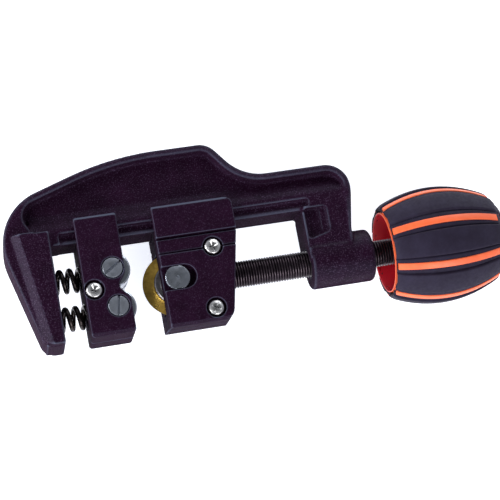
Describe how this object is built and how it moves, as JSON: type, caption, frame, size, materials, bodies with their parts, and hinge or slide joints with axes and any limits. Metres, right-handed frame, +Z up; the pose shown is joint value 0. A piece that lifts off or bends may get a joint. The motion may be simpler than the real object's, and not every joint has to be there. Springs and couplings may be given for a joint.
{
  "type": "pipe cutter",
  "caption": "Screw-fed tube cutter: a cast C-frame with a rail carries a sprung roller carriage and a wheel carriage driven by a threaded screw with a ribbed barrel knob.",
  "frame": {"origin": "under the middle of the whole tool, at the height of the knob's lowest point, with the tool lying on its side", "axes": "+X along the feed screw towards the knob, +Y towards the frame's beam, +Z up, out of the front cheeks"},
  "size_m": [0.187, 0.0719, 0.0444],
  "materials": {
    "cast": "aubergine-black wrinkle paint",
    "steel": "ground steel",
    "zinc": "bright zinc plate",
    "blacked": "black oxide, cut thread",
    "spring": "oiled spring steel",
    "gold": "gold-coloured hard coating",
    "bronze": "plain bearing bronze",
    "orange": "moulded orange plastic",
    "rubber": "moulded soft grip"
  },
  "bodies": {
    "frame": {"frame": "cast", "upper_spring": "spring", "lower_spring": "spring"},
    "roller_carriage": {"roller_carriage_front": "cast", "roller_carriage_back": "cast", "upper_roller_pin": "steel", "lower_roller_pin": "steel", "roller_carriage_screw": "zinc"},
    "upper_roller": {"upper_roller": "steel"},
    "lower_roller": {"lower_roller": "steel"},
    "cutter_carriage": {"cutter_carriage_front": "cast", "cutter_carriage_back": "cast", "upper_cutter_screw": "zinc", "lower_cutter_screw": "zinc", "wheel_axle": "steel", "axle_clip": "steel", "thrust_washer": "bronze"},
    "cutter_wheel": {"cutter_wheel": "gold", "wheel_bush": "steel"},
    "feed_screw": {"feed_screw": "blacked", "knob_core": "orange", "knob_grip": "rubber", "knob_cap": "rubber", "knob_washer": "zinc", "knob_nut": "zinc"}
  },
  "joints": [
    {"name": "roller_carriage_slide", "type": "slide", "parent": "frame", "child": "roller_carriage", "axis": [1, 0, 0], "range_m": [-0.004, 0], "stiffness_N_per_m": 3000, "deforming": ["upper_spring", "lower_spring"]},
    {"name": "upper_roller_spin", "type": "hinge", "parent": "roller_carriage", "child": "upper_roller", "pos_m": [-0.05583, -0.00665, 0.0222], "axis": [0, 0, 1], "continuous": true},
    {"name": "lower_roller_spin", "type": "hinge", "parent": "roller_carriage", "child": "lower_roller", "pos_m": [-0.05583, -0.02085, 0.0222], "axis": [0, 0, 1], "continuous": true},
    {"name": "cutter_carriage_slide", "type": "slide", "parent": "frame", "child": "cutter_carriage", "axis": [1, 0, 0], "range_m": [-0.0052, 0.024]},
    {"name": "cutter_wheel_spin", "type": "hinge", "parent": "cutter_carriage", "child": "cutter_wheel", "pos_m": [-0.03283, -0.01375, 0.0222], "axis": [0, 0, 1], "continuous": true},
    {"name": "feed_screw_turn", "type": "hinge", "parent": "cutter_carriage", "child": "feed_screw", "pos_m": [0.01807, -0.01375, 0.0222], "axis": [1, 0, 0], "range_deg": [-1872.1, 8640.1]}
  ],
  "couplings": [
    {"joint": "feed_screw_turn", "follows": "cutter_carriage_slide", "rad_per_m": 6283.2}
  ]
}
